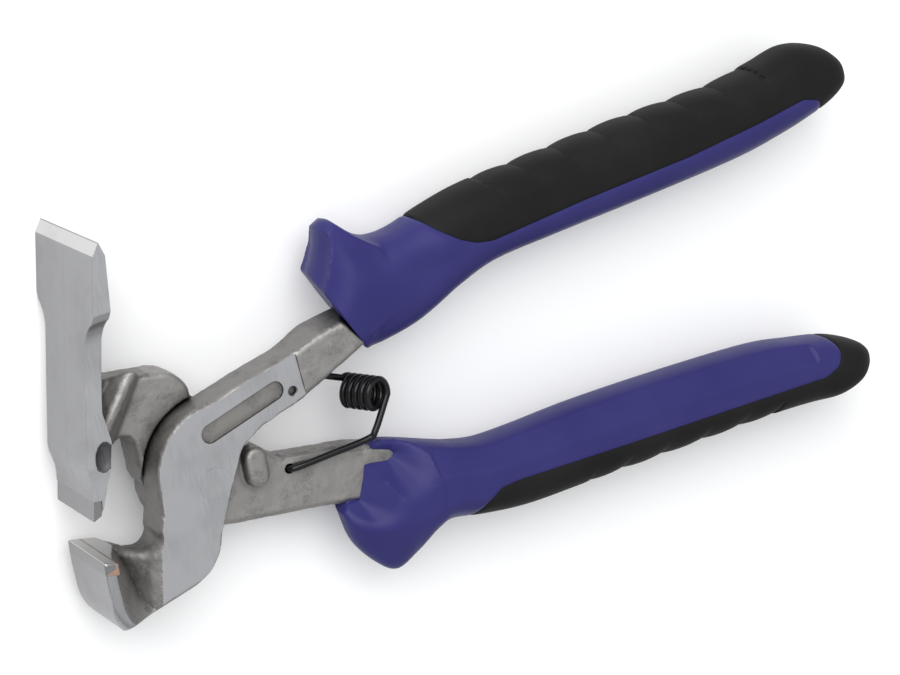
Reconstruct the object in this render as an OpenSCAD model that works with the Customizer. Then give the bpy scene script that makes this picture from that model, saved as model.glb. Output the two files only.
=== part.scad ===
// Tile nippers: two forged levers in a lap joint, a cross plate and a hooked jaw with carbide
// tips, a torsion spring, and two-part grips. Millimetres. The origin is on the rivet's axis in
// the back ground face, +X runs along the handles and +Z is the rivet's axis.

/* [Joint] */
// Thickness over the two ground faces of the lap joint
joint_t = 15; // [14:0.5:16]
// Clearance between the two halves of the lap joint
lap_gap = 0.1; // [0.05:0.05:0.2]
// Radius of the rivet's shank
rivet_r = 3; // [2.5:0.25:3.25]
// Radius of the rivet's countersunk heads, ground flush
rivet_head_r = 3.7; // [3.5:0.1:3.9]
// Running clearance between the rivet and the hook lever
rivet_gap = 0.05; // [0.03:0.01:0.08]
// Radius of the round body of the blade lever
disc_r = 13; // [12.5:0.25:13.5]
// Radius of the round body of the hook lever
hook_body_r = 15.7; // [15:0.1:16]
// Radius of the shoulder on the blade lever that the hook lever turns inside
shoulder_r = 17.6; // [17.4:0.1:18.5]
// Room between the blade lever's round body and the hook lever's neck
disc_room = 1; // [0.5:0.1:2]

/* [Jaws] */
// Width of the two cutting edges
edge_w = 20; // [18:0.5:20.5]
// Width of the cross plate's head
head_w = 30; // [26:0.5:32]
// Width of the cross plate's neck
neck_w = 21; // [20:0.5:22]
// Radius of the coves between the head and the neck
cove_r = 4.5; // [3:0.5:6]
// How much shorter the plate's tip is than its edge
tip_inset = 0.6; // [0.2:0.1:1]
// Thickness of the braze under each carbide tip
braze_t = 0.15; // [0.1:0.05:0.25]
// Thickness of the hook lever behind its jaw
hook_neck_t = 10; // [9:0.5:11]

/* [Arms] */
// Thickness of the blade lever's arm
blade_arm_t = 8; // [7.5:0.25:8.5]
// Thickness of the hook lever's arm where it enters its grip
hook_arm_t = 9.4; // [8.5:0.1:10]
// Thickness of the tangs inside the grips
tang_t = 6; // [4:0.5:7]
// Depth of the slot in the hook lever's face
slot_d = 0.5; // [0.3:0.1:0.8]
// Width of the slot in the hook lever's face
slot_w = 4.4; // [3.5:0.1:5]
// Height of the stop boss above the blade lever's arm
boss_h = 2.8; // [2:0.1:3]

/* [Spring] */
// Wire diameter of the torsion spring
wire_d = 1.55; // [1.2:0.05:1.6]
// Outer diameter of its coil
coil_d = 7.8; // [7:0.1:8.2]
// Turns of its coil
coil_turns = 5; // [4:1:5]
// Radius of the two holes that hold its ends
leg_hole_r = 0.95; // [0.9:0.05:1.1]

/* [Grips] */
// Largest half depth of a grip, along the rivet's axis
grip_half_d = 8.3; // [7.5:0.1:9]
// Thickness of the soft cover on the outer side
cover_t = 2.6; // [2:0.1:3]
// Squareness of a grip's section, 2 for an ellipse
grip_power = 2.5; // [2:0.1:3]
// Clearance between a tang and the grip moulded on it
tang_gap = 0.05; // [0:0.01:0.1]

/* [Hidden] */

mid_z = joint_t / 2;
tip_w = edge_w - tip_inset;
eps = 0.01;

// Colours
forged = [0.55, 0.54, 0.52];
carbide = [0.42, 0.43, 0.45];
copper = [0.82, 0.58, 0.47];
spring_black = [0.06, 0.06, 0.07];
grip_blue = [0.25, 0.24, 0.47];
grip_black = [0.13, 0.13, 0.13];

// Points on a circle, from angle a to angle b in n steps
function arc(c, r, a, b, n = 10) =
    [for (i = [0 : n]) let (t = a + (b - a) * i / n) c + r * [cos(t), sin(t)]];

// Catmull-Rom curve through a list of stations, with n steps a span
function spline(s, n) = [
    for (k = [0 : len(s) - 2], i = [0 : n - (k == len(s) - 2 ? 0 : 1)])
        let (
            t = i / n,
            p = s[max(k - 1, 0)], q = s[k], r = s[k + 1], w = s[min(k + 2, len(s) - 1)]
        )
        0.5 * (2 * q + (r - p) * t + (2 * p - 5 * q + 4 * r - w) * t * t
            + (3 * q - p - 3 * r + w) * t * t * t)
];

// Closed skin over rings of equal length
module skin(rings) {
    n = len(rings[0]);
    m = len(rings);
    polyhedron(
        points = [for (ring = rings) each ring],
        faces = concat(
            [[for (i = [0 : n - 1]) i]],
            [[for (i = [n - 1 : -1 : 0]) (m - 1) * n + i]],
            [for (k = [0 : m - 2], i = [0 : n - 1]) let (a = k * n + i, b = k * n + (i + 1) % n)
                each [[a, a + n, b], [b, a + n, b + n]]]
        ),
        convexity = 6
    );
}

// Extrusion between two heights
module slab(z0, z1) {
    translate([0, 0, z0]) linear_extrude(z1 - z0) children();
}

// ---------------------------------------------------------------- Outlines seen along the rivet

// Hook lever: round body, crotch, arm and the neck behind its jaw
hook_body_c = [2.3, 2.5];
belly_c = [-20.1, -17.5];
belly_r = 10.1;
throat_c = [-18.3, -6.5];
throat_r = 3.3;
hook_edge = [-29.05, -6.8];
hook_jaw_top = [-22, -9];
// Slope of the bevel under the neck
bevel_a = 33;
hook_outline = concat(
    arc(hook_body_c, hook_body_r, 90, 176, 14),
    [[-13.7, -1.8]],
    arc(throat_c, throat_r, 5, -105, 8),
    [hook_jaw_top, hook_edge, [-29.9, -12]],
    arc(belly_c, belly_r, 180, 270, 9),
    [[-16, -25.8]],
    arc([-13.2, -9], 12, -72, -12, 7),
    arc([11, 2.8], 4.6, 163, 108, 5),
    [[24.5, 11.3], [37, 16.4], [40, 18], [40, 25.7], [24.5, 22.8]]
);

// Blade lever: round body, neck to the plate and arm
blade_outline = concat(
    arc([0, 0], disc_r, 168, 280, 12),
    [[23.6, -16.7], [36, -19.3], [44, -17.5], [46, -11.8], [38, -9.3], [28, -5.2], [19.6, -3.2],
     [15.2, 0.5]],
    arc([0, 0], disc_r, 14, 44, 4),
    arc([-6, 19], 7.2, 0, 80, 6),
    [[-14.2, 27.8], [-20, 29.5], [-23.5, 16]],
    arc([-16.6, 12.4], 3, 100, 20, 4)
);

// Cross plate seen from the side, without its carbide tip
blade_edge = [-29.7, 2.75];
plate_top = [-16.9, 62.3];
plate_front_top = [-18.8, 59.7];
plate_front_low = [-28.9, 14.4];
plate_outline = concat(
    [plate_top, plate_front_top, plate_front_low, [-28.6, 12.2], [-28.1, 10.4], blade_edge],
    [[-28, 3.4], [-26.7, 4.9], [-24.8, 9.2], [-23.7, 11.4], [-22.6, 16], [-21.2, 26], [-19.4, 40.5],
     [-17.5, 47.6], [-16, 59.1]]
);

// Cross plate seen from the front, half of it, as [height, half width]
cove_low = 40.15;
cove_high = 47.4;
plate_half = concat(
    [[0, 0], [0, tip_w / 2], [10, edge_w / 2], [14.4, neck_w / 2 - 0.1], [cove_low - cove_r, neck_w / 2]],
    [for (a = [0 : 15 : 75])
        [cove_low + cove_r * (sin(a) + 0.3 * (1 - cos(a))),
         (neck_w + (head_w - neck_w) * (1 - cos(a))) / 2]],
    [[cove_high, head_w / 2], [64, head_w / 2], [64, 0]]
);

// Carbide tips and the walls of their seats
blade_tip_outline = [blade_edge, [-28.75, 6.9], [-27.2, 6.55], [-27.55, 4.6], [-28, 3.4]];
hook_tip_outline = [hook_edge, [-26.5, -7.55], [-26.6, -10.1], [-29.35, -9.4]];
hook_seat_top = [-26.5 + braze_t, -7.6];
hook_seat_low = [-26.6 + braze_t, -10.1 - braze_t];
hook_seat_front = [-29.35, -9.4 - braze_t];
blade_seat = [[-28.7, 6.9 + braze_t], [-27.2 + braze_t, 6.55 + braze_t], [-27.55 + braze_t, 4.6],
    [-28 + braze_t, 3.45]];

// The line through two points, at t times the way from the first to the second
function along(a, b, t) = a + (b - a) * t;

// ---------------------------------------------------------------- Levers

slot_a = [1.2, 11.4];
slot_b = [17.8, 15.5];
upper_leg_hole = [22.1, 14];
lower_leg_hole = [20.5, -5.7];

// Tangs inside the grips, as outlines
upper_tang = [[38, 17.5], [57, 24.5], [97, 31.8], [150, 34.5], [150, 40.5], [97, 38.6], [57, 32], [38, 25]];
lower_tang = [[38, -9.6], [57, -18], [97, -22.9], [150, -25.8], [150, -31.2], [97, -29.6], [57, -26.5],
    [38, -18.6]];

module jaw_flare(tip_x, tip_half, root_x, root_half, centre_z) {
    // Plan of a jaw that widens along the rivet's axis from its root to its tip
    steps = 6;
    side = [for (i = [0 : steps]) let (t = i / steps)
        [tip_x + (root_x - tip_x) * t, root_half + (tip_half - root_half) * pow(1 - t, 1.6)]];
    translate([0, 40, centre_z]) rotate([90, 0, 0]) linear_extrude(80)
        polygon(concat(side, [for (i = [steps : -1 : 0]) [side[i][0], -side[i][1]]]));
}

module leg_hole(place) {
    // Hole right through a lever for one leg of the spring
    translate([place[0], place[1], -1]) cylinder(r = leg_hole_r, h = joint_t + 2, $fn = 32);
}

module hook_lever() {
    bore_r = rivet_r + rivet_gap;
    sink = rivet_head_r - rivet_r + eps;
    lap_z = mid_z + lap_gap / 2;
    color(forged) difference() {
        union() {
            // Round body and arm above the lap plane
            slab(lap_z, joint_t) polygon(hook_outline);
            // Neck and jaw, thicker outside the lap joint
            intersection() {
                slab(joint_t - hook_neck_t, joint_t) polygon(hook_outline);
                slab(0, joint_t) difference() {
                    translate([-40, -40]) square([60, 38]);
                    circle(r = disc_r + disc_room, $fn = 96);
                }
            }
            // Arm near the grip
            intersection() {
                slab(joint_t - hook_arm_t, joint_t) polygon(hook_outline);
                slab(0, joint_t) translate([26, 8]) square([20, 20]);
            }
            // Jaw, flared to the full width of its edge
            intersection() {
                slab(mid_z - edge_w / 2, mid_z + edge_w / 2) polygon(hook_outline);
                jaw_flare(-31, edge_w / 2, -17, 4.8, mid_z);
            }
            slab(mid_z - tang_t / 2, mid_z + tang_t / 2) polygon(upper_tang);
        }
        // Rivet bore with its countersink
        translate([0, 0, -1]) cylinder(r = bore_r, h = joint_t + 2, $fn = 96);
        translate([0, 0, joint_t - sink + eps])
            cylinder(r1 = bore_r, r2 = bore_r + sink, h = sink, $fn = 96);
        // Shallow slot in the ground face
        slab(joint_t - slot_d, joint_t + 1) {
            translate(slot_a) circle(d = slot_w, $fn = 48);
            translate(slot_b) circle(d = slot_w, $fn = 48);
            slot_angle = atan2(slot_b[1] - slot_a[1], slot_b[0] - slot_a[0]);
            translate(slot_a) rotate(slot_angle) translate([0, -slot_w / 2])
                square([norm(slot_b - slot_a), slot_w]);
        }
        // Hole for the spring's upper leg
        leg_hole(upper_leg_hole);
        // Bevel under the neck, from the ground face down to the jaw's bottom
        translate([-18.5, -22.6, joint_t]) rotate([0, 0, 12]) rotate([-bevel_a, 0, 0])
            translate([-20, -20, -30]) cube([31, 20, 60]);
        // Seat of the carbide tip and its braze
        slab(-5, 20) polygon([[-31, -6], along(hook_seat_low, hook_seat_top, 1.4), hook_seat_low,
            along(hook_seat_low, hook_seat_front, 1.5)]);
    }
}

module blade_lever() {
    lap_z = mid_z - lap_gap / 2;
    color(forged) difference() {
        union() {
            // Round body and arm
            slab(0, lap_z) polygon(blade_outline);
            intersection() {
                slab(0, blade_arm_t) polygon(blade_outline);
                slab(0, joint_t) translate([19.5, -25]) square([40, 30]);
            }
            // Neck outside the shoulder of the lap joint, up to the plate
            intersection() {
                slab(1, 12.5) polygon(blade_outline);
                slab(0, joint_t) difference() {
                    translate([-40, 8]) square([45, 30]);
                    circle(r = shoulder_r, $fn = 96);
                    // Room for the hook lever's round body and arm
                    translate(hook_body_c) circle(r = hook_body_r + disc_room / 2, $fn = 96);
                    polygon([[2, 18.7], [40, 26.6], [40, 0], [0, 0]]);
                }
            }
            intersection() {
                slab(mid_z - 9, mid_z + 9)
                    polygon([[-24, 15], [-16.5, 16.5], [-14, 21], [-15, 27.9], [-22, 30]]);
                jaw_flare(-24, 9, -14, 4.5, mid_z);
            }
            cross_plate();
            slab(mid_z - tang_t / 2, mid_z + tang_t / 2) polygon(lower_tang);
            stop_boss();
        }
        translate([0, 0, -1]) cylinder(r = rivet_r, h = joint_t, $fn = 96);
        translate([0, 0, -eps])
            cylinder(r1 = rivet_head_r, r2 = rivet_r, h = rivet_head_r - rivet_r + eps, $fn = 96);
        // Hole for the spring's lower leg
        leg_hole(lower_leg_hole);
        // Seat of the carbide tip and its braze
        slab(-5, 20) polygon(concat([[-31, 0], along(blade_seat[1], blade_seat[0], 2.5)], blade_seat,
            [along(blade_seat[2], blade_seat[3], 1.5)]));
    }
}

module cross_plate() {
    intersection() {
        slab(mid_z - head_w / 2, mid_z + head_w / 2) polygon(plate_outline);
        translate([0, 0, mid_z]) rotate([0, -90, 0]) linear_extrude(40) union() {
            polygon([for (p = plate_half) [p[1], p[0]]]);
            polygon([for (p = plate_half) [-p[1], p[0]]]);
        }
    }
}

module stop_boss() {
    // Upright bar with round ends beside the crotch of the levers
    centre = [11.9, -1.8];
    half_l = 5.4;
    half_w = 3.2;
    slab(1, blade_arm_t + boss_h) {
        for (s = [-1, 1]) translate(centre + [0, s * (half_l - half_w)]) circle(r = half_w, $fn = 48);
        translate(centre) square([2 * half_w, 2 * (half_l - half_w)], center = true);
    }
}

module pivot_rivet() {
    head = rivet_head_r - rivet_r;
    color(forged) rotate_extrude($fn = 96)
        polygon([[0, 0], [rivet_head_r, 0], [rivet_r, head], [rivet_r, joint_t - head],
            [rivet_head_r, joint_t], [0, joint_t]]);
}

module blade_carbide_tip() {
    color(carbide) slab(mid_z - tip_w / 2, mid_z + tip_w / 2) polygon(blade_tip_outline);
}

module blade_tip_braze() {
    color(copper) slab(mid_z - tip_w / 2, mid_z + tip_w / 2) difference() {
        polygon(concat([[-28.75, 6.9]], blade_seat, [[-28.4, 3.6], [-28, 5]]));
        polygon(blade_tip_outline);
    }
}

module hook_carbide_tip() {
    color(carbide) slab(mid_z - edge_w / 2, mid_z + edge_w / 2) polygon(hook_tip_outline);
}

module hook_tip_braze() {
    color(copper) slab(mid_z - edge_w / 2, mid_z + edge_w / 2) difference() {
        polygon([[-26.5, -7.55], hook_seat_top, hook_seat_low, hook_seat_front, [-29.35, -9.4], [-27, -9]]);
        polygon(hook_tip_outline);
    }
}

// ---------------------------------------------------------------- Spring

// Coil from the upper leg's end to the lower leg's end, tilted a little towards the handles
coil_low = [40.1, 5.2, 3.4];
coil_high = [44.1, 4.7, 11.3];
coil_r = (coil_d - wire_d) / 2;
coil_axis = (coil_high - coil_low) / norm(coil_high - coil_low);
coil_u = cross([0, 1, 0], coil_axis) / norm(cross([0, 1, 0], coil_axis));
coil_v = cross(coil_axis, coil_u);
coil_start = 100;
coil_end = -20 - 360 * coil_turns;
coil_steps = 16;

function coil_point(a, t) = along(coil_low, coil_high, t) + coil_r * (cos(a) * coil_u + sin(a) * coil_v);

spring_path = concat(
    [[upper_leg_hole[0], upper_leg_hole[1], 11], [upper_leg_hole[0], upper_leg_hole[1], 6.9],
     [22.8, 13.9, 5.2], [25.2, 13.5, 4.3], [31, 12.4, 4.1]],
    [for (i = [0 : coil_steps * coil_turns]) let (t = i / (coil_steps * coil_turns))
        coil_point(coil_start + (coil_end - coil_start) * t, t)],
    [[41.4, -3, 11.6], [39.4, -4.5, 11.2], [22, -5.6, 9.2], [lower_leg_hole[0], lower_leg_hole[1], 8.3],
     [lower_leg_hole[0], lower_leg_hole[1], 3]]
);

// Unit tangent of a path at one of its points
function tangent(p, i) = let (d = p[min(i + 1, len(p) - 1)] - p[max(i - 1, 0)]) d / norm(d);

// A side vector carried along the path without twisting
function sides(p, i = 0, u = [0.3, 0.9, 0.2]) =
    let (t = tangent(p, i), w = u - (u * t) * t, v = w / norm(w))
    i == len(p) - 1 ? [v] : concat([v], sides(p, i + 1, v));

module tube(path, r, n) {
    us = sides(path);
    skin([for (i = [0 : len(path) - 1])
        let (v = cross(tangent(path, i), us[i]))
        [for (k = [0 : n - 1]) path[i] + r * (cos(360 * k / n) * us[i] + sin(360 * k / n) * v)]]);
}

module return_spring() {
    color(spring_black) tube(spring_path, wire_d / 2, 8);
}

// ---------------------------------------------------------------- Grips

// Stations of a grip: outer point, inner point and half depth as a part of grip_half_d
upper_stations = [
    [34.4, 33.2, 42.8, 16.2, 0.9], [37.2, 39, 44.7, 15.6, 0.94], [39.6, 45.8, 47.5, 15.4, 0.96],
    [42.6, 44.4, 50, 15.7, 0.98], [46.8, 40.9, 53, 16.2, 1], [52.2, 39.3, 57.2, 17.2, 1.02],
    [58, 39.6, 62.2, 19, 1.02], [66, 41.7, 69.5, 22, 1], [77, 43.6, 79.5, 24.8, 1],
    [95, 44.7, 96, 25.7, 1], [120, 46, 120.5, 26.6, 1], [147, 46.6, 147, 28, 1], [160, 48.4, 161, 29.9, 1],
    [169, 50, 171, 32, 0.98], [176.5, 48.2, 177.5, 33.9, 0.86], [181.4, 44.4, 182, 36.2, 0.6],
    [183.4, 41.2, 183.6, 38.2, 0.2]
];
lower_stations = [
    [30.8, -20.6, 40.8, -7.6, 0.9], [32.2, -28.2, 43.5, -7, 0.94], [36.8, -35, 46.5, -7.8, 0.96],
    [41.4, -38.4, 50, -9.2, 0.98], [46.4, -36, 54, -10.9, 1], [51.4, -32.2, 58, -12.6, 1.02],
    [56, -30.9, 62, -14.1, 1.02], [65, -33, 69, -15.8, 1], [77, -34.9, 79, -16.2, 1],
    [95, -35.6, 96, -16.2, 1], [120, -36.6, 121, -17.4, 1], [147, -37.6, 147, -19.5, 1],
    [159, -38.5, 160, -22.1, 1], [168, -39.6, 169, -24.3, 0.98], [174.6, -38.4, 175, -26.9, 0.84],
    [178.4, -35.8, 178.4, -29.2, 0.55], [180, -33.8, 180, -31.4, 0.2]
];

function flip_power(c) = sign(c) * pow(abs(c), 2 / grip_power);

// Rings of a grip, drawn in by an inset
function grip_rings(stations, inset, n) = [
    for (s = spline(stations, 3))
        let (
            o = [s[0], s[1]], i = [s[2], s[3]], c = (o + i) / 2, h = (o - i) / 2,
            k = max(norm(h) - inset, 0.3) / norm(h), d = max(s[4] * grip_half_d - inset, 0.3)
        )
        [for (j = [0 : n - 1]) let (
            a = 360 * j / n, p = c + h * k * flip_power(cos(a)))
            [p[0], p[1], mid_z + d * flip_power(sin(a))]]
];

module grip_body(stations, inset = 0, n = 24) {
    rings = grip_rings(stations, inset, n);
    mirrored = stations[0][1] < 0;
    skin(mirrored ? [for (r = rings) [for (i = [n - 1 : -1 : 0]) r[i]]] : rings);
}

// Where the soft cover lies, seen along the rivet
upper_cover_zone = [
    [58, 60], [60, 42], [64.5, 37.6], [69, 34.2], [73, 32.1], [77.5, 31.2], [103, 33], [133, 34.3],
    [153, 36.3], [167, 38.2], [172, 36.5], [176, 28], [200, 28], [200, 60]
];
lower_cover_zone = [
    [57, -50], [59, -33], [65.5, -27.8], [68.3, -26.2], [73.2, -26], [103, -28], [128, -29.5],
    [162, -31.5], [166.5, -30], [168.6, -26.7], [166, -18], [200, -18], [200, -50]
];

module cover_shell(stations, zone) {
    difference() {
        intersection() {
            grip_body(stations);
            slab(-10, 30) polygon(zone);
        }
        grip_body(stations, cover_t);
    }
}

module grip_core(stations, zone, tang) {
    difference() {
        union() {
            difference() {
                grip_body(stations);
                slab(-10, 30) polygon(zone);
            }
            grip_body(stations, cover_t);
        }
        slab(mid_z - tang_t / 2 - tang_gap, mid_z + tang_t / 2 + tang_gap) polygon(tang);
        // The lever where it enters the grip
        children();
    }
}

module upper_grip_core() {
    color(grip_blue) grip_core(upper_stations, upper_cover_zone, upper_tang)
        slab(joint_t - hook_arm_t, joint_t + 3)
            polygon([[20, 9.5], [37, 16.4], [40, 18], [40, 25.7], [20, 22]]);
}

module upper_grip_cover() {
    color(grip_black) cover_shell(upper_stations, upper_cover_zone);
}

module lower_grip_core() {
    color(grip_blue) grip_core(lower_stations, lower_cover_zone, lower_tang)
        slab(-3, blade_arm_t)
            polygon([[20, -16], [36, -19.3], [44, -17.5], [46, -11.8], [38, -9.3], [20, -3.2]]);
}

module lower_grip_cover() {
    color(grip_black) cover_shell(lower_stations, lower_cover_zone);
}

blade_lever();
hook_lever();
pivot_rivet();
return_spring();
blade_carbide_tip();
blade_tip_braze();
hook_carbide_tip();
hook_tip_braze();
upper_grip_core();
upper_grip_cover();
lower_grip_core();
lower_grip_cover();
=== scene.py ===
import math

import bpy
import numpy as np
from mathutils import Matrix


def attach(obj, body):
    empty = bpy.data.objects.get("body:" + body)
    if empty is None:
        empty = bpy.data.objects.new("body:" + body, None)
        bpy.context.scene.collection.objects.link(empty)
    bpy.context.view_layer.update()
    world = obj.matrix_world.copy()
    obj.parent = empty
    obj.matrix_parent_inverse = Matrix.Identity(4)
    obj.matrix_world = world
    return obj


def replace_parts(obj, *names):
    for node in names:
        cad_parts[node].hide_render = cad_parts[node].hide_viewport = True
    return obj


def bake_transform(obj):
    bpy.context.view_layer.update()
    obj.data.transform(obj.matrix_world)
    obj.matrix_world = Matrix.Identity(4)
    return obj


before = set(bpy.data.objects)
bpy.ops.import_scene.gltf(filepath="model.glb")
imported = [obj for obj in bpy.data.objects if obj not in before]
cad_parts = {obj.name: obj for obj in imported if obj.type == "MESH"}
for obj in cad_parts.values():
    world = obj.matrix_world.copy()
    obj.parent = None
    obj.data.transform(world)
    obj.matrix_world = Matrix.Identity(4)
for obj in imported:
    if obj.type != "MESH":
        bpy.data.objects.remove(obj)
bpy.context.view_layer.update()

# Tile nippers. Shapes are worked out in millimetres, in the CAD frame: the origin is on the
# rivet's axis in the back ground face, +X runs along the handles and +Z is the rivet's axis.
MM = 0.001
MID_Z = 7.5
JOINT_T = 15.0
LAP_GAP = 0.1


# ---------------------------------------------------------------- Distance fields

def arc(centre, radius, start, end, steps=24):
    """Points of an arc, angles in degrees."""
    angles = np.radians(np.linspace(start, end, steps + 1))
    radius = np.broadcast_to(radius, (2,))
    return [(centre[0] + radius[0] * math.cos(a), centre[1] + radius[1] * math.sin(a)) for a in angles]


def segment_distance(x, y, a, b):
    """Distance in the plane from points to a segment."""
    ex, ey = b[0] - a[0], b[1] - a[1]
    t = np.clip(((x - a[0]) * ex + (y - a[1]) * ey) / (ex * ex + ey * ey), 0, 1)
    return np.hypot(x - a[0] - t * ex, y - a[1] - t * ey)


def chain_distance(x, y, points):
    """Distance in the plane to an open chain of segments."""
    far = np.full(np.shape(x), 1e9)
    for a, b in zip(points[:-1], points[1:]):
        far = np.minimum(far, segment_distance(x, y, a, b))
    return far


def polygon_distance(x, y, points):
    """Signed distance in the plane to a closed outline, negative inside."""
    inside = np.zeros(np.shape(x), bool)
    for a, b in zip(points, points[1:] + points[:1]):
        if a[1] != b[1]:
            crosses = (a[1] <= y) != (b[1] <= y)
            inside ^= crosses & (x < a[0] + (y - a[1]) * (b[0] - a[0]) / (b[1] - a[1]))
    return chain_distance(x, y, points + points[:1]) * np.where(inside, -1, 1)


def soften(grid, passes):
    """Blur of a 2-D grid, to round the corners of the outline it holds."""
    for _ in range(passes):
        padded = np.pad(grid, 1, mode="edge")
        grid = (padded[:-2, 1:-1] + 2 * padded[1:-1, 1:-1] + padded[2:, 1:-1]) / 4
        padded = np.pad(grid, 1, mode="edge")
        grid = (padded[1:-1, :-2] + 2 * padded[1:-1, 1:-1] + padded[1:-1, 2:]) / 4
    return grid


def plane_field(measure, low, high, passes=3, step=0.2):
    """Samples measure(x, y) on a grid once and returns a fast function that reads it."""
    xs = np.arange(low[0], high[0] + step, step)
    ys = np.arange(low[1], high[1] + step, step)
    grid = soften(measure(*np.meshgrid(xs, ys, indexing="ij")), passes)

    def read(x, y):
        u = np.clip((x - low[0]) / step, 0, len(xs) - 1.001)
        v = np.clip((y - low[1]) / step, 0, len(ys) - 1.001)
        i, j = u.astype(int), v.astype(int)
        u, v = u - i, v - j
        near = grid[i, j] * (1 - u) + grid[i + 1, j] * u
        far = grid[i, j + 1] * (1 - u) + grid[i + 1, j + 1] * u
        return near * (1 - v) + far * v
    return read


def lumps(p, size, seed):
    """Smooth random lumps from -1 to 1, of a size in mm."""
    table = np.random.RandomState(seed).uniform(-1, 1, (32, 32, 32))
    q = p / size
    i = np.floor(q).astype(int)
    f = q - i
    f = f * f * (3 - 2 * f)
    total = 0
    for corner in np.ndindex(2, 2, 2):
        share = np.prod(np.where(corner, f, 1 - f), axis=-1)
        total = total + share * table[tuple(((i + corner) & 31).T)]
    return total


def step_up(t):
    """Smooth step from 0 to 1."""
    t = np.clip(t, 0, 1)
    return t * t * (3 - 2 * t)


def both(a, b, r):
    """Intersection of two fields with an edge of radius r."""
    return np.minimum(np.maximum(a, b), -r) + np.hypot(np.maximum(a + r, 0), np.maximum(b + r, 0))


def either(a, b, k):
    """Union of two fields with a fillet of size k."""
    h = np.clip(0.5 + 0.5 * (b - a) / k, 0, 1)
    return b + (a - b) * h - k * h * (1 - h)


def plane(p, point, normal):
    """Signed distance to a plane."""
    normal = np.array(normal) / np.linalg.norm(normal)
    return (p - np.array(point)) @ normal


# ---------------------------------------------------------------- Meshes from fields

def field_samples(field, low, counts, step):
    """Values of the field on a grid, worked out only near its surface."""
    block = 4
    blocks = [c // block for c in counts]
    centre = [low[i] + step * block * (np.arange(blocks[i]) + 0.5) for i in range(3)]
    coarse = field(np.stack(np.meshgrid(*centre, indexing="ij"), -1).reshape(-1, 3)).reshape(blocks)
    near = np.abs(coarse) < step * block * 1.15
    first = [np.minimum(np.arange(c + 1) // block, b - 1) for c, b in zip(counts, blocks)]
    last = [np.maximum(np.arange(c + 1) - 1, 0) // block for c in counts]
    values = coarse[np.ix_(*first)].copy()
    wanted = np.zeros(values.shape, bool)
    for pick in np.ndindex(2, 2, 2):
        wanted |= near[np.ix_(*[(first[i], last[i])[pick[i]] for i in range(3)])]
    where = np.argwhere(wanted)
    values[tuple(where.T)] = np.concatenate(
        [field(low + step * part) for part in np.array_split(where, 1 + len(where) // 400000)])
    return values


def crossings(field, values, low, step):
    """Where grid edges cross the surface: axis, cell index, point, and whether the start is inside."""
    for axis in range(3):
        start = [slice(None)] * 3
        end = [slice(None)] * 3
        start[axis], end[axis] = slice(None, -1), slice(1, None)
        a, b = values[tuple(start)], values[tuple(end)]
        cell = np.argwhere((a < 0) != (b < 0))
        va, vb = a[tuple(cell.T)], b[tuple(cell.T)]
        along = np.zeros(3)
        along[axis] = 1
        ta, tb = np.zeros(len(va)), np.ones(len(va))
        fa, fb = va.copy(), vb.copy()
        for _ in range(2):
            t = ta + (tb - ta) * fa / (fa - fb)
            ft = field(low + step * (cell + t[:, None] * along))
            same = (ft < 0) == (fa < 0)
            ta, fa = np.where(same, t, ta), np.where(same, ft, fa)
            tb, fb = np.where(same, tb, t), np.where(same, fb, ft)
        t = ta + (tb - ta) * fa / (fa - fb)
        yield axis, cell, low + step * (cell + t[:, None] * along), va < 0


def field_mesh(name, shape, low, high, step, turn=0, hold=0.04):
    """Mesh of a field's zero surface. Each cell that the surface crosses gets one vertex, placed
    where the planes through its crossings meet, so edges and corners of the field stay crisp.
    The cells are turned about Z by an angle in degrees, to run along the shape's long edges."""
    c, s = math.cos(math.radians(turn)), math.sin(math.radians(turn))
    turned = np.array([[c, -s, 0], [s, c, 0], [0, 0, 1]])
    corners = np.array([(x, y, z) for x in (low[0], high[0]) for y in (low[1], high[1])
                        for z in (low[2], high[2])]) @ turned
    low, high = corners.min(0), corners.max(0)

    def field(p):
        return shape(p @ turned.T)

    counts = [int(math.ceil((high[i] - low[i]) / step / 4)) * 4 for i in range(3)]
    values = field_samples(field, low, counts, step)
    size = np.array(counts)
    ids, points, normals, quads = [], [], [], []
    for axis, cell, point, inside in crossings(field, values, low, step):
        tiny = 0.004
        here = field(point)
        slope = np.stack([field(point + tiny * np.eye(3)[i]) - here for i in range(3)], -1)
        slope /= np.linalg.norm(slope, axis=1, keepdims=True) + 1e-12
        u, v = (axis + 1) % 3, (axis + 2) % 3
        around = []
        for du, dv in ((0, 0), (-1, 0), (-1, -1), (0, -1)):
            other = cell.copy()
            other[:, u] += du
            other[:, v] += dv
            around.append((other[:, 0] * size[1] + other[:, 1]) * size[2] + other[:, 2])
            ids.append(around[-1])
            points.append(point)
            normals.append(slope)
        ring = np.stack(around, 1)
        quads.append(np.where(inside[:, None], ring, ring[:, ::-1]))
    ids = np.concatenate(ids)
    points = np.concatenate(points)
    normals = np.concatenate(normals)
    cells, slot = np.unique(ids, return_inverse=True)
    count = np.bincount(slot).astype(float)
    mean = np.stack([np.bincount(slot, points[:, i]) for i in range(3)], 1) / count[:, None]
    offset = ((points - mean[slot]) * normals).sum(1)
    pull = np.stack([np.bincount(slot, normals[:, i] * offset) for i in range(3)], 1)
    matrix = np.zeros((len(cells), 3, 3))
    for i in range(3):
        for j in range(3):
            matrix[:, i, j] = np.bincount(slot, normals[:, i] * normals[:, j])
        matrix[:, i, i] += hold * count
    vertex = mean + np.linalg.solve(matrix, pull[..., None])[..., 0]
    corner = np.stack([cells // (size[1] * size[2]), cells // size[2] % size[1], cells % size[2]], 1)
    base = low + step * corner
    vertex = np.clip(vertex, base, base + step)
    faces = np.searchsorted(cells, np.concatenate(quads))
    return mesh_object(name, vertex @ turned.T * MM, faces.tolist())


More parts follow.
